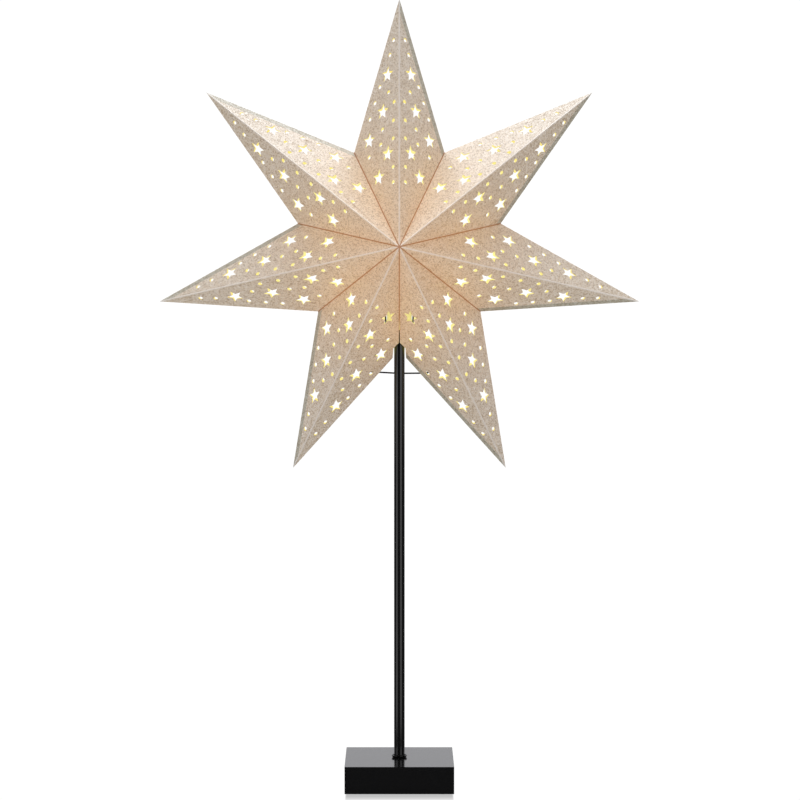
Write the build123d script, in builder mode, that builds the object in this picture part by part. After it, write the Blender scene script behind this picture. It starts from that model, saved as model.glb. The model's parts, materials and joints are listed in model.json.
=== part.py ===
"""Folded-paper star table lamp: a punched seven-point star on a thin stem with a square block base.

Millimetres. +Z is up, the front is -Y, and the origin is the centre of the underside.
"""
from build123d import *

import os
from math import cos, hypot, pi, sin

os.makedirs("parts", exist_ok=True)

# ---------------------------------------------------------------- driving dimensions
# Star
POINT_COUNT = 7
TIP_RADIUS = 231.0
VALLEY_RADIUS = 97.5
HALF_DEPTH = 80.0
STAR_HEIGHT = 509.5
PAPER = 0.4
FLAP_WIDTH = 8.0
FLAP_START = 14.0
SEAM_FLAP_END = 58.0
EDGE_FLAP_WIDTH = 5.0

# Punched pattern of one panel: along the ridge from the front apex, and away from the ridge
STAR_CUT_RADIUS = 8.0
STAR_CUT_RATIO = 0.45
STAR_CUT_TURN = 63.5
DOT_RADIUS = 2.0
STAR_CUTS = [(173.6, 16.5), (138.5, 23.0), (114.8, 42.0), (95.0, 16.2), (74.7, 28.6)]
DOT_CUTS = [
    (205.4, 8.1),
    (192.1, 13.1),
    (164.2, 27.1),
    (155.3, 15.0),
    (143.4, 7.2),
    (150.1, 34.1),
    (135.9, 41.0),
    (125.4, 8.3),
    (120.7, 23.3),
    (107.7, 8.6),
    (106.4, 25.7),
    (98.4, 41.9),
    (79.7, 8.7),
    (64.7, 8.5),
]

# Open seam at the bottom of the star
SLIT_START = 67.5
SLIT_HALF_WIDTH = 0.6
NOTCH_START = 90.0
NOTCH_SHOULDER = 5.0
NOTCH_END_HALF_WIDTH = 6.6

# Base block
BASE_SIDE = 102.0
BASE_THICKNESS = 25.5
BASE_ARRIS = 0.6
PAD_HEIGHT = 1.0
PAD_RADIUS = 5.0
PAD_INSET = 10.0
COVER_RIM = 8.0
COVER_LEDGE = 7.0
COVER_THICKNESS = 1.5
RECESS_ROOF = 7.5

# Weight, cover and their screws
WEIGHT_GAP = 1.0
WEIGHT_BORE_RADIUS = 16.0
WEIGHT_THICKNESS = 8.0
SCREW_COUNT = 3
WEIGHT_SCREW_INSET = 9.0
SCREW_RADIUS = 1.5
SCREW_HEAD_RADIUS = 2.9
WEIGHT_SCREW_GRIP = 4.5
COVER_SCREW_GRIP = 8.0

# Stem
STEM_RADIUS = 5.0
STEM_WALL = 1.0
COLLAR_REACH = 2.5
COLLAR_HEIGHT = 2.2
COLLAR_WALL = 0.8
COLLAR_FLARE = 1.0
WASHER_REACH = 4.0
WASHER_THICKNESS = 1.0
NUT_REACH = 3.0
NUT_HEIGHT = 4.0
STEM_BELOW_NUT = 2.0

# Lead and gland
LEAD_RADIUS = 2.2
LEAD_BEND = 8.0
LEAD_HEIGHT = 7.0
GLAND_RADIUS = 4.5
GLAND_SHORT = 1.0
GLAND_LIP_RADIUS = 5.8
GLAND_LIP = 1.5

# Lamp holder
CAP_DROP = 78.0
CAP_HEIGHT = 20.0
CAP_WALL = 2.3
CAP_NECK = 8.0
CAP_FLOOR = 1.0
CAP_ROUND = 5.0
SLEEVE_WALL = 1.2
SLEEVE_GAP = 0.6
SLEEVE_DEPTH = 7.0
SLEEVE_HEIGHT = 30.0
INSERT_HEIGHT = 7.0
SHELL_WALL = 0.5
SHELL_HEIGHT = 19.0
LOCK_SCREW_RADIUS = 1.5
LOCK_SCREW_HEIGHT = 5.5
CONTACT_THICKNESS = 0.5
CONTACT_LENGTH = 9.0
CONTACT_WIDTH = 4.0
TERMINAL_OFFSET = 4.8
TERMINAL_RADIUS = 1.2
TERMINAL_DEPTH = 4.0
TERMINAL_HEAD_RADIUS = 2.0
TERMINAL_HEAD = 1.0

# Bulb
THREAD_RADIUS = 6.95
THREAD_LENGTH = 15.0
BULB_CAP_WALL = 0.4
INSULATOR_HEIGHT = 2.6
INSULATOR_FOOT_RADIUS = 3.6
TIP_CONTACT_RADIUS = 2.4
TIP_CONTACT_HEIGHT = 1.2
GLASS_RADIUS = 22.5
GLASS_WALL = 0.8
GLASS_NECK_FLARE = 0.65
GLASS_NECK_HEIGHT = 6.0
MOUNT_RADIUS = 2.2
MOUNT_HEIGHT = 15.0
MOUNT_DISC = 1.5
FILAMENT_COUNT = 4
FILAMENT_RADIUS = 0.8
FILAMENT_LENGTH = 22.0
FILAMENT_FOOT_CIRCLE = 8.0
FILAMENT_HEAD_CIRCLE = 3.5
FILAMENT_RING = 0.7
LEAD_WIRE_RADIUS = 0.35

# Support wire
WIRE_RADIUS = 0.75
WIRE_BEHIND = 7.2
WIRE_DROP = 119.0
WIRE_RISE_LEFT = 1.4
WIRE_SAG = 0.3
WIRE_INSIDE = 3.6
PIERCE_RADIUS = 1.2

# Clearances
FIT = 0.05
EASY = 0.2
HOOK_GAP = 0.3
TOUCH_GAP = 0.1

# ---------------------------------------------------------------- worked-out places
COVER_RADIUS = BASE_SIDE / 2 - COVER_RIM
RECESS_RADIUS = COVER_RADIUS - COVER_LEDGE
WEIGHT_RADIUS = RECESS_RADIUS - WEIGHT_GAP
WEIGHT_SCREW_CIRCLE = WEIGHT_RADIUS - WEIGHT_SCREW_INSET
COVER_SCREW_CIRCLE = COVER_RADIUS - COVER_LEDGE / 2
GLAND_LENGTH = BASE_SIDE / 2 - RECESS_RADIUS - GLAND_SHORT
BLOCK_BOTTOM = PAD_HEIGHT
BLOCK_TOP = BLOCK_BOTTOM + BASE_THICKNESS
ROOF = BLOCK_TOP - RECESS_ROOF
WASHER_BOTTOM = ROOF - WASHER_THICKNESS
NUT_BOTTOM = WASHER_BOTTOM - NUT_HEIGHT
STEM_BOTTOM = NUT_BOTTOM - STEM_BELOW_NUT
COLLAR_RADIUS = STEM_RADIUS + COLLAR_REACH
WASHER_RADIUS = STEM_RADIUS + WASHER_REACH
NUT_RADIUS = STEM_RADIUS + NUT_REACH
SHELL_BORE = THREAD_RADIUS + FIT
SLEEVE_RADIUS = SHELL_BORE + SHELL_WALL + SLEEVE_GAP + SLEEVE_WALL
CAP_RADIUS = SLEEVE_RADIUS + CAP_WALL
GLASS_NECK_RADIUS = THREAD_RADIUS + GLASS_NECK_FLARE
CAP_BOTTOM = STAR_HEIGHT - CAP_DROP
STEM_TOP = CAP_BOTTOM + CAP_NECK
CAP_TOP = CAP_BOTTOM + CAP_HEIGHT
SLEEVE_BOTTOM = CAP_TOP - SLEEVE_DEPTH
SLEEVE_TOP = SLEEVE_BOTTOM + SLEEVE_HEIGHT
INSERT_BOTTOM = SLEEVE_BOTTOM
INSERT_TOP = INSERT_BOTTOM + INSERT_HEIGHT
CONTACT_TOP = INSERT_TOP + CONTACT_THICKNESS
TIP_BOTTOM = CONTACT_TOP + TOUCH_GAP
INSULATOR_BOTTOM = TIP_BOTTOM + TIP_CONTACT_HEIGHT
THREAD_BOTTOM = INSULATOR_BOTTOM + INSULATOR_HEIGHT
THREAD_TOP = THREAD_BOTTOM + THREAD_LENGTH
NECK_TOP = THREAD_TOP + GLASS_NECK_HEIGHT
GLASS_CENTRE = NECK_TOP + (GLASS_RADIUS**2 - GLASS_NECK_RADIUS**2) ** 0.5

HALF_ANGLE = pi / POINT_COUNT
STAR_CENTRE = Vector(0, 0, STAR_HEIGHT)
FRONT_APEX = Vector(0, -HALF_DEPTH, 0)
TIP = Vector(0, 0, TIP_RADIUS)
VALLEY = Vector(VALLEY_RADIUS * sin(HALF_ANGLE), 0, VALLEY_RADIUS * cos(HALF_ANGLE))
VALLEY_PLANE = Plane(
    origin=(0, 0, 0),
    x_dir=VALLEY.normalized(),
    z_dir=VALLEY.cross(Vector(0, 1, 0)).normalized(),
)
PANEL_NORMAL = (VALLEY - FRONT_APEX).cross(TIP - FRONT_APEX).normalized()
PANEL_DISTANCE = abs(PANEL_NORMAL.dot(FRONT_APEX))
SHELL_SCALE = (PANEL_DISTANCE - PAPER) / PANEL_DISTANCE
FLAP_SCALE = (PANEL_DISTANCE - 2 * PAPER) / PANEL_DISTANCE


def back_panel_x(behind, drop):
    """Distance from the stem axis at which a line across the lowest points meets their back panels."""
    across, depth, along = (abs(value) for value in PANEL_NORMAL)
    reach = drop * (along * cos(HALF_ANGLE) + across * sin(HALF_ANGLE)) + behind * depth
    slope = across * cos(HALF_ANGLE) - along * sin(HALF_ANGLE)
    return (reach - PANEL_DISTANCE) / slope


WIRE_REACH = back_panel_x(WIRE_BEHIND, WIRE_DROP) + WIRE_INSIDE


def finish(piece, name):
    """Name a finished piece and write its file."""
    piece.part.label = name
    export_step(piece.part, f"parts/{name}.step")


# ---------------------------------------------------------------- star
def half_point(size):
    """One half of a star point: the valley triangle drawn out to the tip."""
    with BuildPart() as half:
        with BuildSketch(VALLEY_PLANE) as triangle:
            with BuildLine():
                Polyline(
                    (0, -size * HALF_DEPTH),
                    (size * VALLEY_RADIUS, 0),
                    (0, size * HALF_DEPTH),
                    close=True,
                )
            make_face()
        loft(sections=[triangle.sketch.face(), Vertex(0, 0, size * TIP_RADIUS)])
    return half.part


def flap(start, end):
    """Glue flaps of one side of a point, folded inwards along the front and the back valley."""
    slope = hypot(HALF_DEPTH, VALLEY_RADIUS) / VALLEY_RADIUS
    inset = FLAP_WIDTH * slope
    with BuildPart() as strip:
        with BuildSketch(VALLEY_PLANE):
            with BuildLine():
                Polyline(
                    (0, -HALF_DEPTH),
                    (VALLEY_RADIUS, 0),
                    (0, HALF_DEPTH),
                    close=True,
                )
            make_face()
            with BuildLine():
                Polyline(
                    (0, -HALF_DEPTH + inset),
                    (VALLEY_RADIUS * (1 - inset / HALF_DEPTH), 0),
                    (0, HALF_DEPTH - inset),
                    close=True,
                )
            make_face(mode=Mode.SUBTRACT)
            with Locations(((start + end) / 2, 0)):
                Rectangle(end - start, 2 * HALF_DEPTH, mode=Mode.INTERSECT)
        extrude(amount=PAPER)
    return strip.part


def edge_flap():
    """Glue flap along the outer edge of a point, inside the front panel on its clockwise side."""
    depth = EDGE_FLAP_WIDTH * hypot(PANEL_NORMAL.X, PANEL_NORMAL.Z)
    with BuildPart() as strip:
        add(half_point(SHELL_SCALE))
        add(half_point(FLAP_SCALE), mode=Mode.SUBTRACT)
        Box(
            TIP_RADIUS,
            depth,
            TIP_RADIUS,
            align=(Align.MIN, Align.MAX, Align.MIN),
            mode=Mode.INTERSECT,
        )
    return strip.part


def punch(side, face):
    """Cutters for the punched stars and dots of one panel: side is +1 or -1, face is -1 at the front."""
    apex = Vector(0, face * HALF_DEPTH, 0)
    valley = Vector(side * VALLEY.X, 0, VALLEY.Z)
    ridge = (TIP - apex).normalized()
    across = (valley - apex) - ridge * (valley - apex).dot(ridge)
    panel = Plane(origin=apex, x_dir=ridge, z_dir=ridge.cross(across).normalized())
    with BuildPart() as cutter:
        with BuildSketch(panel):
            for centre in STAR_CUTS:
                outline = []
                for corner in range(10):
                    reach = STAR_CUT_RADIUS if corner % 2 == 0 else STAR_CUT_RADIUS * STAR_CUT_RATIO
                    angle = (STAR_CUT_TURN + 36 * corner) * pi / 180
                    outline.append((centre[0] + reach * cos(angle), centre[1] + reach * sin(angle)))
                with BuildLine():
                    Polyline(*outline, close=True)
                make_face()
            with Locations(*DOT_CUTS):
                Circle(DOT_RADIUS)
        extrude(amount=2 * PAPER, both=True)
    return cutter.part


def point(left_flap_end, right_flap_end):
    """One star point about its own centre, with the tip up."""
    with BuildPart() as shell:
        for half in (half_point(1.0), mirror(half_point(1.0), about=Plane.YZ)):
            add(half)
        for half in (half_point(SHELL_SCALE), mirror(half_point(SHELL_SCALE), about=Plane.YZ)):
            add(half, mode=Mode.SUBTRACT)
        add(edge_flap())
        add(flap(FLAP_START, right_flap_end))
        add(mirror(flap(FLAP_START, left_flap_end), about=Plane.YZ))
        for face in (-1, 1):
            for side in (-1, 1):
                add(punch(side, face), mode=Mode.SUBTRACT)
    return shell.part


def star_point(number):
    """A star point turned to its place; the two lowest ones carry the open seam at the stem."""
    lowest = (POINT_COUNT + 1) // 2
    left_end = SEAM_FLAP_END if number == lowest + 1 else VALLEY_RADIUS
    right_end = SEAM_FLAP_END if number == lowest else VALLEY_RADIUS
    turn = Location(STAR_CENTRE, (0, 360 * (number - 1) / POINT_COUNT, 0))
    with BuildPart() as placed:
        add(point(left_end, right_end).moved(turn))
        if number in (lowest, lowest + 1):
            add(seam_cut(), mode=Mode.SUBTRACT)
            add(bent_wire(PIERCE_RADIUS).part, mode=Mode.SUBTRACT)
    return placed


def bent_wire(radius):
    """A round bar along the wire's run: behind the stem, into the two lowest points, up to the holder cap."""
    drop = STAR_HEIGHT - WIRE_DROP
    leg = CAP_RADIUS + WIRE_RADIUS + 2 * HOOK_GAP
    hook = CAP_TOP + HOOK_GAP + WIRE_RADIUS
    tip = SLEEVE_RADIUS + 2 * HOOK_GAP
    right = [
        (WIRE_REACH, WIRE_BEHIND, drop),
        (21, 2, drop + 21),
        (leg - 1, 0, drop + 31),
        (leg, 0, drop + 53),
        (leg, 0, hook),
        (tip, 0, hook),
    ]
    left = [(-x, y, z) for x, y, z in right]
    left[0] = (-WIRE_REACH, WIRE_BEHIND, drop + WIRE_RISE_LEFT)
    route = list(reversed(left)) + [(0, WIRE_BEHIND, drop - WIRE_SAG)] + right
    bends = [1.4, 20, 12, 9, 4, 60, 4, 9, 12, 20, 1.4]
    with BuildPart() as bar:
        with BuildLine() as path:
            FilletPolyline(*route, radius=bends)
        with BuildSketch(Plane(origin=path.line @ 0, z_dir=path.line % 0)):
            Circle(radius)
        sweep(path=path.line)
    return bar


def seam_cut():
    """The slit and the house-shaped notch that the stem passes through."""
    shoulder = SLIT_HALF_WIDTH + NOTCH_SHOULDER
    with BuildPart() as cut:
        with BuildSketch(Plane.XZ.offset(HALF_DEPTH)):
            with BuildLine():
                Polyline(
                    (0, STAR_HEIGHT - SLIT_START),
                    (SLIT_HALF_WIDTH, STAR_HEIGHT - NOTCH_START),
                    (shoulder, STAR_HEIGHT - NOTCH_START - NOTCH_SHOULDER),
                    (NOTCH_END_HALF_WIDTH, STAR_HEIGHT - VALLEY_RADIUS - 2 * NOTCH_SHOULDER),
                    (-NOTCH_END_HALF_WIDTH, STAR_HEIGHT - VALLEY_RADIUS - 2 * NOTCH_SHOULDER),
                    (-shoulder, STAR_HEIGHT - NOTCH_START - NOTCH_SHOULDER),
                    (-SLIT_HALF_WIDTH, STAR_HEIGHT - NOTCH_START),
                    close=True,
                )
            make_face()
        extrude(amount=-2 * HALF_DEPTH)
    return cut.part


for number in range(1, POINT_COUNT + 1):
    finish(star_point(number), f"star_point_{number}")


support_wire = bent_wire(WIRE_RADIUS)
finish(support_wire, "support_wire")


# ---------------------------------------------------------------- base
with BuildPart() as base_block:
    with BuildSketch(Plane.XY.offset(BLOCK_BOTTOM)):
        Rectangle(BASE_SIDE, BASE_SIDE)
    extrude(amount=BASE_THICKNESS)
    chamfer(base_block.edges(), length=BASE_ARRIS / 2)
    with BuildSketch(Plane.XY.offset(BLOCK_BOTTOM)):
        Circle(RECESS_RADIUS)
    extrude(amount=ROOF - BLOCK_BOTTOM, mode=Mode.SUBTRACT)
    with BuildSketch(Plane.XY.offset(BLOCK_BOTTOM)):
        Circle(COVER_RADIUS + EASY)
    extrude(amount=COVER_THICKNESS, mode=Mode.SUBTRACT)
    with BuildSketch(Plane.XY.offset(ROOF)):
        Circle(STEM_RADIUS + FIT)
    extrude(amount=RECESS_ROOF, mode=Mode.SUBTRACT)
    with BuildSketch(Plane.XZ.offset(-BASE_SIDE / 2)):
        with Locations((0, LEAD_HEIGHT)):
            Circle(GLAND_RADIUS + FIT)
    extrude(amount=BASE_SIDE / 2 - RECESS_RADIUS / 2, mode=Mode.SUBTRACT)
    with BuildSketch(Plane.XY.offset(ROOF)):
        with PolarLocations(WEIGHT_SCREW_CIRCLE, SCREW_COUNT, start_angle=30):
            Circle(SCREW_RADIUS + FIT)
    extrude(amount=WEIGHT_SCREW_GRIP + EASY, mode=Mode.SUBTRACT)
    with BuildSketch(Plane.XY.offset(BLOCK_BOTTOM + COVER_THICKNESS)):
        with PolarLocations(COVER_SCREW_CIRCLE, SCREW_COUNT, start_angle=30):
            Circle(SCREW_RADIUS + FIT)
    extrude(amount=COVER_SCREW_GRIP + EASY, mode=Mode.SUBTRACT)
finish(base_block, "base_block")

with BuildPart() as foot_pads:
    with BuildSketch(Plane.XY):
        with GridLocations(BASE_SIDE - 2 * PAD_INSET, BASE_SIDE - 2 * PAD_INSET, 2, 2):
            Circle(PAD_RADIUS)
    extrude(amount=PAD_HEIGHT)
finish(foot_pads, "foot_pads")


def countersunk_screws(head_z, circle, grip, through):
    """Countersunk screws driven upwards: the head's face lies at head_z."""
    cone = SCREW_HEAD_RADIUS - SCREW_RADIUS
    with BuildPart() as screws:
        with PolarLocations(circle, SCREW_COUNT, start_angle=30):
            with Locations((0, 0, head_z)):
                Cone(
                    SCREW_HEAD_RADIUS - FIT,
                    SCREW_RADIUS - FIT / 2,
                    cone,
                    align=(Align.CENTER, Align.CENTER, Align.MIN),
                )
                Cylinder(
                    SCREW_RADIUS - FIT / 2,
                    through + grip,
                    align=(Align.CENTER, Align.CENTER, Align.MIN),
                )
    return screws


with BuildPart() as base_weight:
    with BuildSketch(Plane.XY.offset(ROOF - WEIGHT_THICKNESS)):
        Circle(WEIGHT_RADIUS)
        Circle(WEIGHT_BORE_RADIUS, mode=Mode.SUBTRACT)
    extrude(amount=WEIGHT_THICKNESS)
    with Locations(Plane.XY.offset(ROOF - WEIGHT_THICKNESS).rotated((180, 0, 0))):
        with PolarLocations(WEIGHT_SCREW_CIRCLE, SCREW_COUNT, start_angle=-30):
            CounterSinkHole(SCREW_RADIUS + FIT, SCREW_HEAD_RADIUS, WEIGHT_THICKNESS, 90)
finish(base_weight, "base_weight")

weight_screws = countersunk_screws(
    ROOF - WEIGHT_THICKNESS, WEIGHT_SCREW_CIRCLE, WEIGHT_SCREW_GRIP, WEIGHT_THICKNESS
)
finish(weight_screws, "weight_screws")

with BuildPart() as base_cover:
    with BuildSketch(Plane.XY.offset(BLOCK_BOTTOM)):
        Circle(COVER_RADIUS)
    extrude(amount=COVER_THICKNESS)
    with Locations(Plane.XY.offset(BLOCK_BOTTOM).rotated((180, 0, 0))):
        with PolarLocations(COVER_SCREW_CIRCLE, SCREW_COUNT, start_angle=-30):
            CounterSinkHole(SCREW_RADIUS + FIT, SCREW_HEAD_RADIUS, COVER_THICKNESS, 90)
finish(base_cover, "base_cover")

cover_screws = countersunk_screws(
    BLOCK_BOTTOM, COVER_SCREW_CIRCLE, COVER_SCREW_GRIP, COVER_THICKNESS
)
finish(cover_screws, "cover_screws")


# ---------------------------------------------------------------- stem
def tube(bottom, height, outer, inner):
    """A plain tube or ring about the stem axis."""
    with BuildPart() as turned:
        with BuildSketch(Plane.XY.offset(bottom)):
            Circle(outer)
            Circle(inner, mode=Mode.SUBTRACT)
        extrude(amount=height)
    return turned


stem_tube = tube(STEM_BOTTOM, STEM_TOP - STEM_BOTTOM, STEM_RADIUS, STEM_RADIUS - STEM_WALL)
finish(stem_tube, "stem_tube")

stem_washer = tube(WASHER_BOTTOM, WASHER_THICKNESS, WASHER_RADIUS, STEM_RADIUS + FIT)
finish(stem_washer, "stem_washer")

with BuildPart() as stem_collar:
    with BuildSketch(Plane.XZ):
        with BuildLine():
            Polyline(
                (STEM_RADIUS + FIT, BLOCK_TOP),
                (COLLAR_RADIUS - COLLAR_FLARE, BLOCK_TOP),
                (COLLAR_RADIUS, BLOCK_TOP + COLLAR_HEIGHT),
                (COLLAR_RADIUS - COLLAR_WALL, BLOCK_TOP + COLLAR_HEIGHT),
                (COLLAR_RADIUS - COLLAR_FLARE - COLLAR_WALL, BLOCK_TOP + COLLAR_WALL),
                (STEM_RADIUS + FIT, BLOCK_TOP + COLLAR_WALL),
                close=True,
            )
        make_face()
    revolve(axis=Axis.Z)
    rim = stem_collar.faces().filter_by(GeomType.PLANE).sort_by(Axis.Z)[-1]
    fillet(rim.edges(), radius=COLLAR_WALL / 4)
finish(stem_collar, "stem_collar")

with BuildPart() as stem_nut:
    with BuildSketch(Plane.XY.offset(NUT_BOTTOM)):
        RegularPolygon(NUT_RADIUS, 6)
        Circle(STEM_RADIUS + FIT, mode=Mode.SUBTRACT)
    extrude(amount=NUT_HEIGHT)
finish(stem_nut, "stem_nut")

with BuildPart() as cord_gland:
    with BuildSketch(Plane.XZ.offset(-BASE_SIDE / 2)):
        with Locations((0, LEAD_HEIGHT)):
            Circle(GLAND_RADIUS)
    extrude(amount=GLAND_LENGTH)
    with BuildSketch(Plane.XZ.offset(-BASE_SIDE / 2)):
        with Locations((0, LEAD_HEIGHT)):
            Circle(GLAND_LIP_RADIUS)
    extrude(amount=-GLAND_LIP)
    fillet(cord_gland.edges().filter_by(GeomType.CIRCLE).sort_by(Axis.Y)[-1], radius=GLAND_LIP / 2)
    with BuildSketch(Plane.XZ.offset(-BASE_SIDE / 2 - GLAND_LIP)):
        with Locations((0, LEAD_HEIGHT)):
            Circle(LEAD_RADIUS + FIT)
    extrude(amount=GLAND_LENGTH + GLAND_LIP, mode=Mode.SUBTRACT)
finish(cord_gland, "cord_gland")

with BuildPart() as internal_lead:
    with BuildLine() as lead_path:
        FilletPolyline(
            (0, BASE_SIDE / 2, LEAD_HEIGHT),
            (0, 0, LEAD_HEIGHT),
            (0, 0, INSERT_BOTTOM - EASY),
            radius=LEAD_BEND,
        )
    with BuildSketch(Plane(origin=lead_path.line @ 0, z_dir=lead_path.line % 0)):
        Circle(LEAD_RADIUS)
    sweep(path=lead_path.line)
finish(internal_lead, "internal_lead")


# ---------------------------------------------------------------- lamp holder
with BuildPart() as holder_cap:
    with BuildSketch(Plane.XY.offset(CAP_BOTTOM)):
        Circle(CAP_RADIUS)
    extrude(amount=CAP_HEIGHT)
    fillet(holder_cap.edges().sort_by(Axis.Z)[0], radius=CAP_ROUND)
    with BuildSketch(Plane.XY.offset(CAP_BOTTOM)):
        Circle(STEM_RADIUS + FIT)
    extrude(amount=CAP_HEIGHT, mode=Mode.SUBTRACT)
    with BuildSketch(Plane.XY.offset(STEM_TOP + CAP_FLOOR)):
        Circle(SLEEVE_RADIUS + FIT)
    extrude(amount=CAP_HEIGHT - CAP_NECK - CAP_FLOOR, mode=Mode.SUBTRACT)
    with BuildSketch(Plane.XZ):
        with Locations((0, CAP_BOTTOM + LOCK_SCREW_HEIGHT)):
            Circle(LOCK_SCREW_RADIUS + FIT)
    extrude(amount=-CAP_RADIUS, mode=Mode.SUBTRACT)
finish(holder_cap, "holder_cap")

with BuildPart() as holder_lock_screw:
    with BuildSketch(Plane.XZ.offset(-STEM_RADIUS - FIT)):
        with Locations((0, CAP_BOTTOM + LOCK_SCREW_HEIGHT)):
            Circle(LOCK_SCREW_RADIUS)
    extrude(amount=-(CAP_RADIUS - STEM_RADIUS - 2 * HOOK_GAP))
    with BuildSketch(Plane.XZ.offset(-CAP_RADIUS + 2 * HOOK_GAP)):
        with Locations((0, CAP_BOTTOM + LOCK_SCREW_HEIGHT)):
            Rectangle(2 * LOCK_SCREW_RADIUS, LOCK_SCREW_RADIUS / 3)
    extrude(amount=LOCK_SCREW_RADIUS / 2, mode=Mode.SUBTRACT)
finish(holder_lock_screw, "holder_lock_screw")

holder_sleeve = tube(SLEEVE_BOTTOM, SLEEVE_HEIGHT, SLEEVE_RADIUS, SLEEVE_RADIUS - SLEEVE_WALL)
finish(holder_sleeve, "holder_sleeve")

with BuildPart() as holder_insert:
    with BuildSketch(Plane.XY.offset(INSERT_BOTTOM)):
        Circle(SLEEVE_RADIUS - SLEEVE_WALL - FIT)
        with Locations((-TERMINAL_OFFSET, 0), (TERMINAL_OFFSET, 0)):
            Circle(TERMINAL_RADIUS + FIT, mode=Mode.SUBTRACT)
    extrude(amount=INSERT_HEIGHT)
finish(holder_insert, "holder_insert")

with BuildPart() as terminal_screws:
    with BuildSketch(Plane.XY.offset(INSERT_BOTTOM - TERMINAL_HEAD)):
        with Locations((-TERMINAL_OFFSET, 0), (TERMINAL_OFFSET, 0)):
            Circle(TERMINAL_HEAD_RADIUS)
    extrude(amount=TERMINAL_HEAD)
    with BuildSketch(Plane.XY.offset(INSERT_BOTTOM)):
        with Locations((-TERMINAL_OFFSET, 0), (TERMINAL_OFFSET, 0)):
            Circle(TERMINAL_RADIUS)
    extrude(amount=TERMINAL_DEPTH)
finish(terminal_screws, "terminal_screws")

screw_shell = tube(INSERT_TOP, SHELL_HEIGHT, SHELL_BORE + SHELL_WALL, SHELL_BORE)
finish(screw_shell, "screw_shell")

with BuildPart() as centre_contact:
    with BuildSketch(Plane.XY.offset(INSERT_TOP)):
        Rectangle(CONTACT_LENGTH, CONTACT_WIDTH)
    extrude(amount=CONTACT_THICKNESS)
finish(centre_contact, "centre_contact")


# ---------------------------------------------------------------- bulb
with BuildPart() as bulb_tip_contact:
    with BuildSketch(Plane.XY.offset(TIP_BOTTOM)):
        Circle(TIP_CONTACT_RADIUS)
    extrude(amount=TIP_CONTACT_HEIGHT)
    fillet(bulb_tip_contact.edges().sort_by(Axis.Z)[0], radius=TIP_CONTACT_HEIGHT / 2)
finish(bulb_tip_contact, "bulb_tip_contact")

with BuildPart() as bulb_insulator:
    with BuildSketch(Plane.XZ):
        with BuildLine():
            Polyline(
                (0, INSULATOR_BOTTOM),
                (INSULATOR_FOOT_RADIUS, INSULATOR_BOTTOM),
                (THREAD_RADIUS - BULB_CAP_WALL, THREAD_BOTTOM),
                (0, THREAD_BOTTOM),
                close=True,
            )
        make_face()
    revolve(axis=Axis.Z)
finish(bulb_insulator, "bulb_insulator")

bulb_cap = tube(THREAD_BOTTOM, THREAD_LENGTH, THREAD_RADIUS, THREAD_RADIUS - BULB_CAP_WALL - FIT)
finish(bulb_cap, "bulb_cap")

with BuildPart() as bulb_glass:
    with Locations((0, 0, GLASS_CENTRE)):
        Sphere(GLASS_RADIUS)
    with BuildSketch(Plane.XY.offset(THREAD_TOP)):
        Circle(GLASS_NECK_RADIUS)
    extrude(amount=GLASS_CENTRE - THREAD_TOP)
    with Locations((0, 0, GLASS_CENTRE)):
        Sphere(GLASS_RADIUS - GLASS_WALL, mode=Mode.SUBTRACT)
    with BuildSketch(Plane.XY.offset(THREAD_TOP)):
        Circle(GLASS_NECK_RADIUS - GLASS_WALL)
    extrude(amount=GLASS_CENTRE - THREAD_TOP, mode=Mode.SUBTRACT)
finish(bulb_glass, "bulb_glass")

with BuildPart() as bulb_mount:
    with BuildSketch(Plane.XY.offset(THREAD_TOP - MOUNT_DISC)):
        Circle(THREAD_RADIUS - BULB_CAP_WALL - 2 * FIT)
    extrude(amount=MOUNT_DISC)
    with BuildSketch(Plane.XY.offset(THREAD_TOP)):
        Circle(MOUNT_RADIUS)
    extrude(amount=MOUNT_HEIGHT)
    fillet(bulb_mount.faces().sort_by(Axis.Z)[-1].edges(), radius=MOUNT_RADIUS / 2)
finish(bulb_mount, "bulb_mount")


def rod(start, end, radius):
    """A round rod from one point to another, added to the part being built."""
    along = end - start
    with BuildSketch(Plane(origin=start, z_dir=along)) as section:
        Circle(radius)
    extrude(section.sketch, amount=along.length)


FILAMENT_FOOT = GLASS_CENTRE - FILAMENT_LENGTH / 2
FILAMENT_TOP = GLASS_CENTRE + FILAMENT_LENGTH / 2
filament_ends = []
for index in range(FILAMENT_COUNT):
    bearing = 2 * pi * (index + 0.5) / FILAMENT_COUNT
    outward = Vector(cos(bearing), sin(bearing), 0)
    foot = outward * FILAMENT_FOOT_CIRCLE + Vector(0, 0, FILAMENT_FOOT)
    head = outward * FILAMENT_HEAD_CIRCLE + Vector(0, 0, FILAMENT_TOP)
    filament_ends.append((foot, head))

with BuildPart() as bulb_filaments:
    for foot, head in filament_ends:
        rod(foot, head, FILAMENT_RADIUS)
finish(bulb_filaments, "bulb_filaments")

with BuildPart() as filament_leads:
    for foot, head in filament_ends:
        rod(Vector(0, 0, THREAD_TOP + MOUNT_HEIGHT), foot, LEAD_WIRE_RADIUS)
    with BuildSketch(Plane.XY.offset(FILAMENT_TOP + FILAMENT_RADIUS)):
        Circle(FILAMENT_HEAD_CIRCLE + FILAMENT_RADIUS)
        Circle(FILAMENT_HEAD_CIRCLE - FILAMENT_RADIUS, mode=Mode.SUBTRACT)
    extrude(amount=FILAMENT_RING)
finish(filament_leads, "filament_leads")
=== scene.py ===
"""Paper star table lamp: finishes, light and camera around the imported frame. Metres, +Z up, front -Y."""
import json
from math import atan2, cos, pi, radians, sin, tau

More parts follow.
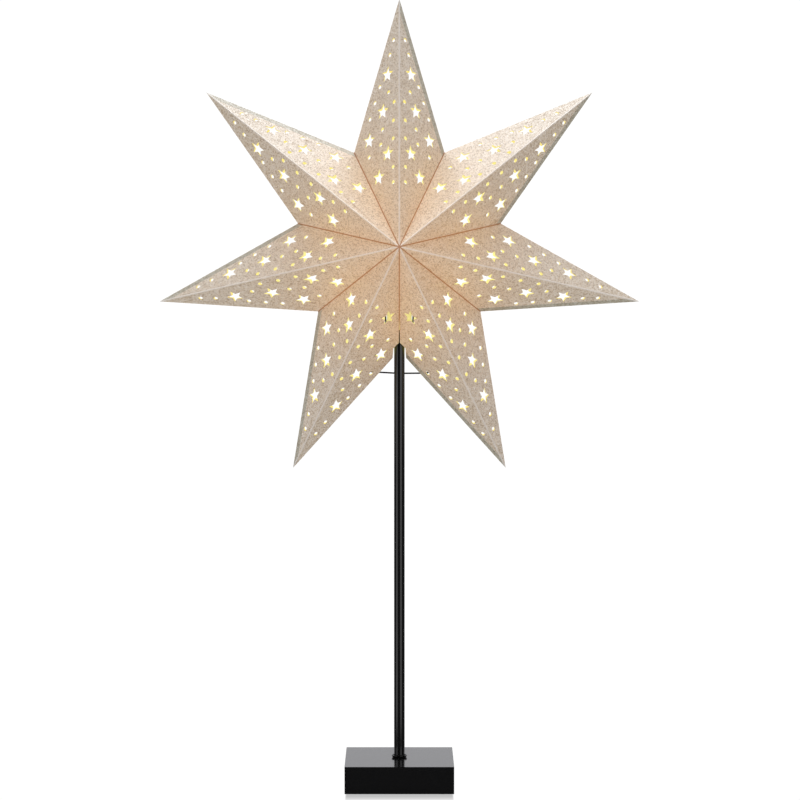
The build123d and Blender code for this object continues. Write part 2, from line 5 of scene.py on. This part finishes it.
import bpy
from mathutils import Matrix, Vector


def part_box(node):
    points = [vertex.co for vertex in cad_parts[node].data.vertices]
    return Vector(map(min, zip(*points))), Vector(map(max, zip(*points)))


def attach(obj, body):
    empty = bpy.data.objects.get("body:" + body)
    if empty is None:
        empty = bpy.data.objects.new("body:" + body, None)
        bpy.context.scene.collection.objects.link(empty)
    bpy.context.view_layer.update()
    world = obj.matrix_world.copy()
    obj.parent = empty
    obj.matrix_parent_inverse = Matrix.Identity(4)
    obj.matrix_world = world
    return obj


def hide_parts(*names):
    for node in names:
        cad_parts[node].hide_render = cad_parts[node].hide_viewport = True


MM = 0.001
POINT_COUNT = 7
STAR_NODES = [f"star_point_{number + 1}" for number in range(POINT_COUNT)]

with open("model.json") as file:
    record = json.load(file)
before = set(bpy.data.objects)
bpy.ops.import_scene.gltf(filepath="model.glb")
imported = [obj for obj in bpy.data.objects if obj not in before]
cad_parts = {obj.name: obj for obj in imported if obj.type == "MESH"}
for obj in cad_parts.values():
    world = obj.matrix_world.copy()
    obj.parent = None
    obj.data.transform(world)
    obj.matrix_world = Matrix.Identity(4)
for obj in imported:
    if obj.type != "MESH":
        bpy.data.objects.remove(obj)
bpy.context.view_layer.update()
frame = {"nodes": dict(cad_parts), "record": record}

# Places and sizes, read from the frame; the card's thickness and the edge flap's width are given
STAR_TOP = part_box("star_point_1")[1].z
STAR_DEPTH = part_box("star_point_1")[1].y
STAR_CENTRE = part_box("star_point_1")[0].z
TIP_RADIUS = STAR_TOP - STAR_CENTRE
HALF_ANGLE = pi / POINT_COUNT
BULB_LOW, BULB_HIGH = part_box("bulb_glass")
BULB_RADIUS = BULB_HIGH.x
BULB_CENTRE = Vector((0, 0, BULB_HIGH.z - BULB_RADIUS))
BLOCK_LOW, BLOCK_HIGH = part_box("base_block")

VALLEY_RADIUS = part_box("star_point_1")[1].x / sin(HALF_ANGLE)
CARD = 0.4 * MM
APEX = Vector((0, STAR_DEPTH, 0))
TIP = Vector((0, 0, TIP_RADIUS))
VALLEY = Vector((VALLEY_RADIUS * sin(HALF_ANGLE), 0, VALLEY_RADIUS * cos(HALF_ANGLE)))
PANEL_NORMAL = (TIP - APEX).cross(VALLEY - APEX).normalized()
PANEL_DISTANCE = PANEL_NORMAL.dot(APEX)
EDGE_FLAP = 5.0 * MM
EDGE_SLOPE = Vector((PANEL_NORMAL.x, PANEL_NORMAL.z)).length

# Camera
CAMERA_ASIDE = 0.6 * MM
CAMERA_DISTANCE = 2.577
CAMERA_TILT = radians(3.2)
CAMERA_LENS = 123.4

# Studio levels
SOFT_AMBIENT = 0.64
FRONT_SHEEN = 0.02
BACK_SHEEN = 0.85
PANEL_SHEEN = 2.0
FLOOR_CAST = 0.62
PAINTED_POOL_LEVEL = 1.3
OVERHEAD_WATTS = 15.5
BULB_WATTS = 0.10
CARD_GLOW = 0.13
INNER_GLOW = 0.84
CONTACT_SHADOW_LEVEL = 0.52
CONTACT_SHADOW_REACH = 38 * MM
OPEN_FLOOR = 1.03
BACKDROP = 1.05
OVERHEAD_PLACE = (0.0, 0.38, 2.3)
OVERHEAD_WIDTH = 1.7
OVERHEAD_HEIGHT = 1.2
LEFT_LIGHT = radians(-57)
LEFT_SPREAD = radians(18)
RIGHT_LIGHT = radians(37)
RIGHT_SPREAD = radians(17)


# ---------------------------------------------------------------- camera, floor, light
def add_camera():
    """Level with the star's centre, a few steps back, tilted so that the whole lamp is in view."""
    bpy.ops.object.camera_add(
        location=(CAMERA_ASIDE, -CAMERA_DISTANCE, STAR_CENTRE),
        rotation=(pi / 2 - CAMERA_TILT, 0, 0),
    )
    camera = bpy.context.object
    camera.name = "camera"
    camera.data.lens = CAMERA_LENS
    camera.data.sensor_width = 36
    camera.data.clip_end = 50
    bpy.context.scene.camera = camera


def add_area(name, place, aim, width, height, watts, colour):
    """A soft rectangular light that looks at a point."""
    bpy.ops.object.light_add(type="AREA", location=place)
    light = bpy.context.object
    light.name = name
    light.rotation_euler = (Vector(aim) - Vector(place)).to_track_quat("-Z", "Y").to_euler()
    light.data.shape = "RECTANGLE"
    light.data.size = width
    light.data.size_y = height
    light.data.energy = watts
    light.data.color = colour
    return light


def hex_colour(code):
    """An sRGB hex value as the linear colour that the shaders use."""
    channels = []
    for start in (0, 2, 4):
        value = int(code[start:start + 2], 16) / 255
        channels.append(value / 12.92 if value <= 0.04045 else ((value + 0.055) / 1.055) ** 2.4)
    return (*channels, 1.0)


def add_node(material, kind, inputs=(), **settings):
    """One node with its settings; an input is given a value or another node's output."""
    tree = material.node_tree
    made = tree.nodes.new(kind)
    for name, value in settings.items():
        setattr(made, name, value)
    for key, value in dict(inputs).items():
        if isinstance(value, bpy.types.NodeSocket):
            tree.links.new(value, made.inputs[key])
        else:
            made.inputs[key].default_value = value
    return made


def sum_up(material, operation, first, second=0.0, third=0.0, clamp=False):
    """The result of one sum on two or three numbers."""
    made = add_node(
        material, "ShaderNodeMath", {0: first, 1: second, 2: third}, operation=operation, use_clamp=clamp
    )
    return made.outputs[0]


def blend_colours(material, share, first, second, mode="MIX"):
    """Two colours mixed by a share from 0 to 1."""
    made = add_node(
        material,
        "ShaderNodeMix",
        {0: share, 6: first, 7: second},
        data_type="RGBA",
        blend_type=mode,
    )
    return made.outputs[2]


def blend_values(material, share, first, second):
    """Two numbers mixed by a share from 0 to 1."""
    return add_node(material, "ShaderNodeMix", {0: share, 2: first, 3: second}).outputs[0]


def map_range(material, value, low, high, to_low=0.0, to_high=1.0):
    """A value carried from one range to another, and held at the ends."""
    made = add_node(
        material,
        "ShaderNodeMapRange",
        {"Value": value, "From Min": low, "From Max": high, "To Min": to_low, "To Max": to_high},
        interpolation_type="SMOOTHSTEP",
    )
    return made.outputs["Result"]


def new_material(name, **sockets):
    """A material with one Principled shader, and that shader's plain values."""
    material = bpy.data.materials.new(name)
    material.use_nodes = True
    shader = material.node_tree.nodes["Principled BSDF"]
    for key, value in sockets.items():
        shader.inputs[key.replace("_", " ")].default_value = value
    return material, shader


def link(material, output, shader, socket):
    """Feeds one of the shader's sockets."""
    material.node_tree.links.new(output, shader.inputs[socket])


def distance_from(material, place, centre):
    """How far a shaded place is from a fixed one."""
    offset = add_node(material, "ShaderNodeVectorMath", {0: place, 1: centre}, operation="SUBTRACT")
    length = add_node(material, "ShaderNodeVectorMath", {0: offset.outputs[0]}, operation="LENGTH")
    return length.outputs["Value"]


def add_bump(material, shader, height, depth):
    """Relief of a real depth in metres."""
    bump = add_node(material, "ShaderNodeBump", {"Height": height, "Distance": depth, "Strength": 1.0})
    link(material, bump.outputs["Normal"], shader, "Normal")


def light_lobes(material, split):
    """Share from 0 to 1 by bearing from the lamp: a soft light to its front left, one to its front right."""
    forward = sum_up(material, "MULTIPLY", split.outputs["Y"], -1.0)
    bearing = sum_up(material, "ARCTAN2", split.outputs["X"], forward)
    shares = []
    for middle, half_width in ((LEFT_LIGHT, LEFT_SPREAD), (RIGHT_LIGHT, RIGHT_SPREAD)):
        off = sum_up(material, "ABSOLUTE", sum_up(material, "SUBTRACT", bearing, middle))
        shares.append(map_range(material, off, 1.3 * half_width, 0.7 * half_width))
    return sum_up(material, "ADD", *shares)


def set_world():
    """A white backdrop to the eye, soft even light on what is matt, and a dark front for what is glossy."""
    world = bpy.data.worlds.new("studio")
    world.use_nodes = True
    bpy.context.scene.world = world
    tree = world.node_tree
    output = tree.nodes["World Output"]
    backdrop = tree.nodes["Background"]
    backdrop.inputs["Color"].default_value = hex_colour("ffffff")
    backdrop.inputs["Strength"].default_value = BACKDROP
    ambient = tree.nodes.new("ShaderNodeBackground")
    ambient.inputs["Color"].default_value = hex_colour("fbfbff")
    split = add_node(world, "ShaderNodeSeparateXYZ", {0: add_node(world, "ShaderNodeTexCoord").outputs[0]})
    behind = map_range(world, split.outputs["Y"], -0.2, 0.9, FRONT_SHEEN, BACK_SHEEN)
    low = map_range(world, split.outputs["Z"], 0.8, 0.4, 0.0, PANEL_SHEEN)
    lobes = sum_up(world, "MULTIPLY", light_lobes(world, split), low)
    sheen = sum_up(world, "ADD", behind, lobes)
    sight = add_node(world, "ShaderNodeLightPath")
    soft = sum_up(world, "MULTIPLY", sight.outputs["Is Diffuse Ray"], SOFT_AMBIENT)
    glossy = sum_up(world, "SUBTRACT", 1.0, sight.outputs["Is Diffuse Ray"])
    level = sum_up(world, "MULTIPLY_ADD", glossy, sheen, soft)
    tree.links.new(level, ambient.inputs["Strength"])
    choice = tree.nodes.new("ShaderNodeMixShader")
    tree.links.new(sight.outputs["Is Camera Ray"], choice.inputs["Fac"])
    tree.links.new(ambient.outputs[0], choice.inputs[1])
    tree.links.new(backdrop.outputs[0], choice.inputs[2])
    tree.links.new(choice.outputs[0], output.inputs["Surface"])


def add_floor():
    """A wide white floor, evenly bright to the eye, with a painted shadow strip along the block's front edge
    and painted pools of light that only reflections show.
    """
    bpy.ops.mesh.primitive_plane_add(size=12, location=(0, 2, -0.0002))
    floor = bpy.context.object
    floor.name = "floor"
    material, shader = new_material("pale_floor", Roughness=0.5)
    shader.inputs["Specular IOR Level"].default_value = 0.0
    sight = add_node(material, "ShaderNodeLightPath")
    seen = sight.outputs["Is Camera Ray"]
    tone = blend_colours(material, seen, hex_colour("4c4c4c"), hex_colour("000000"))
    link(material, tone, shader, "Base Color")
    place = add_node(material, "ShaderNodeNewGeometry").outputs["Position"]
    split = add_node(material, "ShaderNodeSeparateXYZ", {0: place})
    # Painted shadow: the floor is darker in a band either side of the line of the block's front edge, fading
    # out with distance from that line and held to the block's width.
    out_front = sum_up(material, "ABSOLUTE", sum_up(material, "SUBTRACT", BLOCK_LOW.y, split.outputs["Y"]))
    clear = map_range(material, out_front, 0.0, CONTACT_SHADOW_REACH, CONTACT_SHADOW_LEVEL, OPEN_FLOOR)
    across = sum_up(material, "ABSOLUTE", split.outputs["X"])
    aside = map_range(material, across, 0.96 * BLOCK_HIGH.x, BLOCK_HIGH.x)
    contact = blend_values(material, aside, clear, OPEN_FLOOR)
    # Painted pools of light: to glossy rays the floor glows in two lobes, front left and front right,
    # starting a little way out from the lamp's foot, so that they show in reflections; to diffuse rays it
    # glows evenly, lighting the lamp from below.
    away = add_node(material, "ShaderNodeVectorMath", {0: place}, operation="LENGTH").outputs["Value"]
    pool = map_range(material, away, 0.22, 0.40, 0.0, PAINTED_POOL_LEVEL)
    glossy = sum_up(material, "MULTIPLY", light_lobes(material, split), pool)
    shine = blend_values(material, sight.outputs["Is Diffuse Ray"], glossy, FLOOR_CAST)
    link(material, blend_values(material, seen, shine, contact), shader, "Emission Strength")
    shader.inputs["Emission Color"].default_value = hex_colour("ffffff")
    floor.data.materials.append(material)


def add_lights():
    """Overhead softbox, and the glow of the bulb."""
    aim = (0, 0, STAR_CENTRE)
    white = (1.0, 1.0, 1.0)
    add_area("overhead_softbox", OVERHEAD_PLACE, aim, OVERHEAD_WIDTH, OVERHEAD_HEIGHT, OVERHEAD_WATTS, white)
    bpy.ops.object.light_add(type="POINT", location=BULB_CENTRE)
    glow = bpy.context.object
    glow.name = "bulb_glow"
    glow.data.energy = BULB_WATTS
    glow.data.color = (1.0, 0.70, 0.38)
    glow.data.shadow_soft_size = 0.6 * BULB_RADIUS


# ---------------------------------------------------------------- finishes
def glitter_card():
    """Coated card, champagne, dusted with fine glitter, printed on the outside: a dry, sparkling grain.

    A pale line runs along the ridges and a painted warm shadow line along the valleys; a painted shade band
    lies over the glued flap, and painted light warms the card and makes it glow towards the bulb.
    """
    card, shader = new_material("glitter_card", Roughness=0.3, IOR=1.6)
    place = add_node(card, "ShaderNodeTexCoord").outputs["Object"]
    split = add_node(card, "ShaderNodeSeparateXYZ", {0: place})
    across = split.outputs["X"]
    up = sum_up(card, "SUBTRACT", split.outputs["Z"], STAR_CENTRE)
    reach = sum_up(card, "SQRT", sum_up(card, "ADD", sum_up(card, "POWER", across, 2.0),
                                        sum_up(card, "POWER", up, 2.0)))
    bearing = sum_up(card, "ARCTAN2", across, up)
    turned = sum_up(card, "ADD", bearing, tau + HALF_ANGLE)
    sector = sum_up(card, "SUBTRACT", sum_up(card, "MODULO", turned, 2 * HALF_ANGLE), HALF_ANGLE)
    from_ridge = sum_up(card, "MULTIPLY", reach, sum_up(card, "SINE", sum_up(card, "ABSOLUTE", sector)))
    to_valley_angle = sum_up(card, "SUBTRACT", HALF_ANGLE, sum_up(card, "ABSOLUTE", sector))
    from_valley = sum_up(card, "MULTIPLY", reach, sum_up(card, "SINE", to_valley_angle))

    grain = add_node(card, "ShaderNodeTexVoronoi", {"Vector": place, "Scale": 1 / (0.85 * MM)})
    grain_tone = add_node(card, "ShaderNodeSeparateColor", {0: grain.outputs["Color"]}).outputs[0]
    cloud = add_node(card, "ShaderNodeTexNoise", {"Vector": place, "Scale": 35.0, "Detail": 3.0})
    base = blend_colours(card, cloud.outputs["Fac"], hex_colour("cfc0a6"), hex_colour("d6c8b0"))
    speckled = blend_colours(card, sum_up(card, "POWER", grain_tone, 2.0), base, hex_colour("fbf6ec"))
    dark_grain = map_range(card, grain_tone, 0.34, 0.04)
    speckled = blend_colours(card, sum_up(card, "MULTIPLY", dark_grain, 0.6), speckled, hex_colour("8c7a62"))

    away = distance_from(card, place, BULB_CENTRE)
    # Painted light: the card's colour is tinted warmer towards the bulb.
    bulb_light_share = map_range(card, away, 0.15, 0.05)
    bulb_lit = blend_colours(card, bulb_light_share, speckled, hex_colour("fff5e8"), "MULTIPLY")

    # Painted shade: on the front, along each point's clockwise outer edge, a cooler, darker band where the
    # glued flap behind the card holds back the bulb's light; the card's glow is dimmed there too.
    depth = split.outputs["Y"]
    from_edge = sum_up(card, "DIVIDE", sum_up(card, "ABSOLUTE", depth), EDGE_SLOPE)
    in_band = map_range(card, from_edge, EDGE_FLAP + 0.4 * MM, EDGE_FLAP - 0.4 * MM)
    front = sum_up(card, "LESS_THAN", depth, 0.0)
    clockwise = sum_up(card, "GREATER_THAN", sector, 0.0)
    flap_shade_mask = sum_up(card, "MULTIPLY", in_band, sum_up(card, "MULTIPLY", front, clockwise))
    flap_shaded = blend_colours(card, flap_shade_mask, bulb_lit, hex_colour("dfe3e0"), "MULTIPLY")

    # A pale line along each ridge.
    ridge = map_range(card, from_ridge, 1.0 * MM, 0.45 * MM, 0.0, 0.75)
    ridge_lined = blend_colours(card, ridge, flap_shaded, hex_colour("f2eee6"))
    # Painted shade: a warm brown shadow line along each valley.
    valley = map_range(card, from_valley, 0.75 * MM, 0.3 * MM, 0.0, 0.85)
    folded = blend_colours(card, valley, ridge_lined, hex_colour("9c5c26"))
    link(card, folded, shader, "Base Color")

    shine = map_range(card, grain_tone, 0.4, 0.95, 0.36, 0.22)
    link(card, shine, shader, "Roughness")
    shader.inputs["Specular IOR Level"].default_value = 1.0
    add_bump(card, shader, grain_tone, 0.03 * MM)

    # Painted light: the card glows warm orange, brighter towards the bulb and dimmer over the glued flap
    # band, standing in for the bulb's light shining through the card.
    near = sum_up(card, "DIVIDE", 0.085, sum_up(card, "MAXIMUM", away, 0.07))
    single = map_range(card, flap_shade_mask, 0.0, 1.0, 1.0, 0.25)
    level = sum_up(card, "MULTIPLY", single, CARD_GLOW)
    glow = sum_up(card, "MULTIPLY", sum_up(card, "POWER", near, 1.1), level)
    link(card, glow, shader, "Emission Strength")
    shader.inputs["Emission Color"].default_value = hex_colour("ffb064")
    return card


def plain_card():
    """The uncoated inner side of the card and its cut edges: matt, glowing with painted yellow light that
    stands in for the bulb's light, paler near the bulb.
    """
    card, shader = new_material("plain_card", Roughness=0.9, IOR=1.45)
    place = add_node(card, "ShaderNodeTexCoord").outputs["Object"]
    fibre = add_node(card, "ShaderNodeTexNoise", {"Vector": place, "Scale": 420.0, "Detail": 4.0})
    tone = blend_colours(card, fibre.outputs["Fac"], hex_colour("6a6248"), hex_colour("787052"))
    link(card, tone, shader, "Base Color")
    add_bump(card, shader, fibre.outputs["Fac"], 0.03 * MM)
    away = distance_from(card, place, BULB_CENTRE)
    far = map_range(card, away, 0.07, 0.2)
    light = blend_colours(card, far, hex_colour("fff7a2"), hex_colour("ffec86"))
    link(card, light, shader, "Emission Color")
    shader.inputs["Emission Strength"].default_value = INNER_GLOW
    return card


def black_enamel():
    """Powder-coated steel tube, black: a smooth semi-gloss with the faintest orange peel."""
    enamel, shader = new_material("black_enamel", Roughness=0.14, IOR=1.5)
    place = add_node(enamel, "ShaderNodeTexCoord").outputs["Object"]
    peel = add_node(enamel, "ShaderNodeTexNoise", {"Vector": place, "Scale": 900.0, "Detail": 2.0})
    tone = blend_colours(enamel, peel.outputs["Fac"], hex_colour("0b0b0b"), hex_colour("121212"))
    link(enamel, tone, shader, "Base Color")
    add_bump(enamel, shader, peel.outputs["Fac"], 0.01 * MM)
    return enamel


def black_lacquer():
    """Lacquered fibreboard, black: glossy on top, with the sprayed coat's fine texture."""
    lacquer, shader = new_material("black_lacquer", Roughness=0.12, IOR=1.5)
    place = add_node(lacquer, "ShaderNodeTexCoord").outputs["Object"]
    spray = add_node(lacquer, "ShaderNodeTexNoise", {"Vector": place, "Scale": 700.0, "Detail": 4.0})
    tone = blend_colours(lacquer, spray.outputs["Fac"], hex_colour("0c0c0d"), hex_colour("161616"))
    link(lacquer, tone, shader, "Base Color")
    rough = map_range(lacquer, spray.outputs["Fac"], 0.3, 0.7, 0.10, 0.17)
    link(lacquer, rough, shader, "Roughness")
    add_bump(lacquer, shader, spray.outputs["Fac"], 0.006 * MM)
    return lacquer


def speckled_finish(name, low, high, roughness, metallic=0.0, scale_mm=1.0, depth_mm=0.01):
    """A finish whose tone and relief vary with a fine grain of a real size."""
    made, shader = new_material(name, Metallic=metallic)
    place = add_node(made, "ShaderNodeTexCoord").outputs["Object"]
    per_metre = 1 / (scale_mm * MM)
    grain = add_node(made, "ShaderNodeTexNoise", {"Vector": place, "Scale": per_metre, "Detail": 3.0})
    tone = blend_colours(made, grain.outputs["Fac"], hex_colour(low), hex_colour(high))
    link(made, tone, shader, "Base Color")
    rough = map_range(made, grain.outputs["Fac"], 0.2, 0.8, 0.8 * roughness, 1.2 * roughness)
    link(made, rough, shader, "Roughness")
    add_bump(made, shader, grain.outputs["Fac"], depth_mm * MM)
    return made


def clear_glass():
    """Blown glass globe, clear and thin."""
    glass, shader = new_material("clear_glass", Roughness=0.02, IOR=1.45, Transmission_Weight=1.0)
    shader.inputs["Base Color"].default_value = hex_colour("fff8ee")
    return glass


def glowing_filament():
    """Phosphor-coated filament stick, lit: an even warm glow."""
    stick, shader = new_material("filament_glow", Roughness=0.6)
    place = add_node(stick, "ShaderNodeTexCoord").outputs["Object"]
    beads = add_node(stick, "ShaderNodeTexNoise", {"Vector": place, "Scale": 1200.0})
    tone = blend_colours(stick, beads.outputs["Fac"], hex_colour("ffb648"), hex_colour("ffd27a"))
    link(stick, tone, shader, "Base Color")
    link(stick, tone, shader, "Emission Color")
    shader.inputs["Emission Strength"].default_value = 12.0
    return stick


def panel_depth(place):
    """How far a place lies out from the star's centre, square to the panel that it belongs to."""
    across, along, up = abs(place.x), abs(place.y), place.z - STAR_CENTRE
    reach = Vector((across, up)).length
    bearing = atan2(place.x, up)
    sector = abs((bearing + tau + HALF_ANGLE) % (2 * HALF_ANGLE) - HALF_ANGLE)
    return PANEL_NORMAL.dot(Vector((reach * sin(sector), along, reach * cos(sector))))


def fold_star(coated, plain):
    """The seven folded leaves: merged copies of the frame's shells, coated outside and plain inside."""
    for number, name in enumerate(STAR_NODES):
        source = frame["nodes"][name]
        leaf = source.copy()
        leaf.data = source.data.copy()
        leaf.name = f"star_leaf_{number + 1}"
        leaf.data.name = leaf.name
        bpy.context.scene.collection.objects.link(leaf)
        bpy.ops.object.select_all(action="DESELECT")
        leaf.select_set(True)
        bpy.context.view_layer.objects.active = leaf
        bpy.ops.object.mode_set(mode="EDIT")
        bpy.ops.mesh.select_all(action="SELECT")
        bpy.ops.mesh.remove_doubles(threshold=0.002 * MM)
        bpy.ops.object.mode_set(mode="OBJECT")
        bpy.ops.object.shade_flat()
        leaf.data.materials.clear()
        leaf.data.materials.append(coated)
        leaf.data.materials.append(plain)
        for face in leaf.data.polygons:
            outside = panel_depth(face.center) > PANEL_DISTANCE - 0.4 * CARD
            face.material_index = 0 if outside else 1
        leaf.parent = None
        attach(leaf, "star")
        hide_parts(name)


def finish_nodes():
    """Gives every CAD node its finish."""
    finishes = {
        "star_paper": glitter_card(),
        "black_wire": speckled_finish("black_wire", "0a0a0a", "141414", 0.35),
        "black_lacquer": black_lacquer(),
        "black_enamel": black_enamel(),
        "pad_rubber": speckled_finish("pad_rubber", "1a1a1a", "262626", 0.8, depth_mm=0.03),
        "weight_iron": speckled_finish("weight_iron", "3a3a3a", "4a4a48", 0.6, 1.0, 1.5, 0.05),
        "zinc_steel": speckled_finish("zinc_steel", "b9bcbe", "cfd1d2", 0.32, 1.0, 0.6),
        "cover_board": speckled_finish("cover_board", "161616", "242424", 0.9, scale_mm=0.5),
        "black_plastic": speckled_finish("black_plastic", "101010", "181818", 0.45),
        "lead_sheath": speckled_finish("lead_sheath", "121212", "1b1b1b", 0.5),
        "holder_plastic": speckled_finish("holder_plastic", "ece6d8", "f3eee2", 0.3),
        "insert_ceramic": speckled_finish("insert_ceramic", "e6e0d2", "efeade", 0.5, scale_mm=0.4),
        "brass_contact": speckled_finish("brass_contact", "c8a24c", "d8b560", 0.3, 1.0, 0.6),
        "nickel_cap": speckled_finish("nickel_cap", "c9c6bf", "d9d6cf", 0.2, 1.0, 0.6),
        "black_glass": speckled_finish("black_glass", "0c0c10", "15151a", 0.1),
        "solder": speckled_finish("solder", "a5a7aa", "bcbec0", 0.38, 1.0, 0.5),
        "clear_glass": clear_glass(),
        "filament_glow": glowing_filament(),
    }
    for row in frame["record"]["subparts"]:
        node = frame["nodes"][row["node"]]
        node.data.materials.clear()
        node.data.materials.append(finishes[row["material_slot"]])
    fold_star(finishes["star_paper"], plain_card())


bpy.context.scene.view_settings.view_transform = "Standard"
bpy.context.scene.view_settings.look = "None"
add_camera()
set_world()
add_floor()
add_lights()
finish_nodes()
